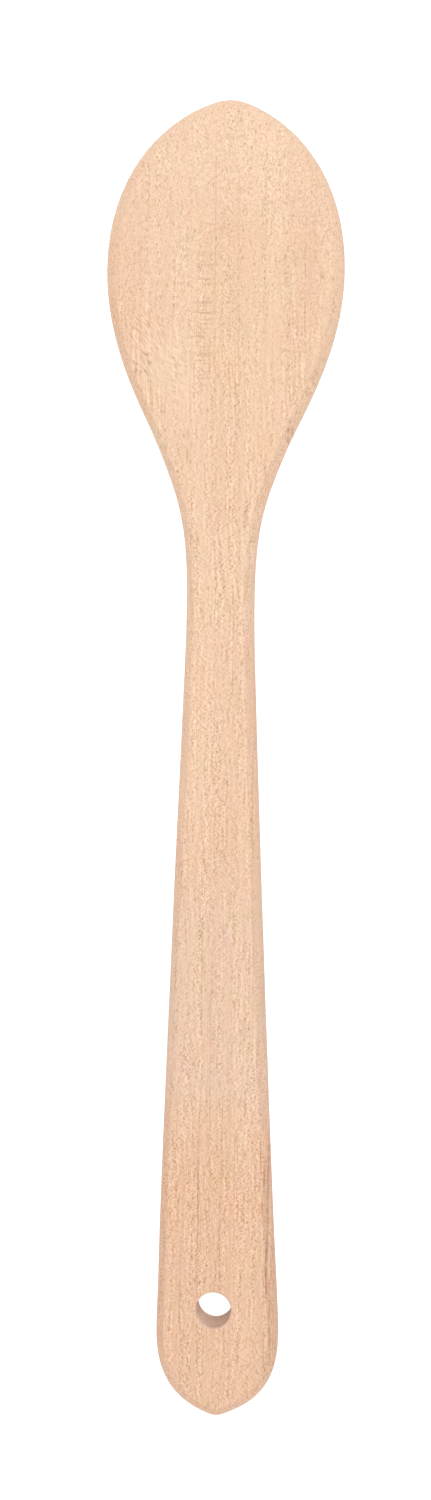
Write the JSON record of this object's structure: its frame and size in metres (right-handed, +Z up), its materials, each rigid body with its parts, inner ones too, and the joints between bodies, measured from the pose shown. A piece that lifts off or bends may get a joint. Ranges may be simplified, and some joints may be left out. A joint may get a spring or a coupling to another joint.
{
  "type": "wooden spoon",
  "caption": "Flat one-piece beech cooking spoon with a pointed oval head, slim neck, widening handle, rounded edges and a hanging hole.",
  "frame": {"origin": "on the surface the spoon lies on, under the middle of its length and width", "axes": "+X across the spoon, +Y along its centre line towards the tip of the head, +Z up out of the front face"},
  "size_m": [0.053, 0.3, 0.008],
  "materials": {
    "beech": "bare sanded beech, pale pinkish tan, fine grain and short dark flecks, matt"
  },
  "bodies": {
    "root": {"spoon": "beech"}
  },
  "joints": []
}
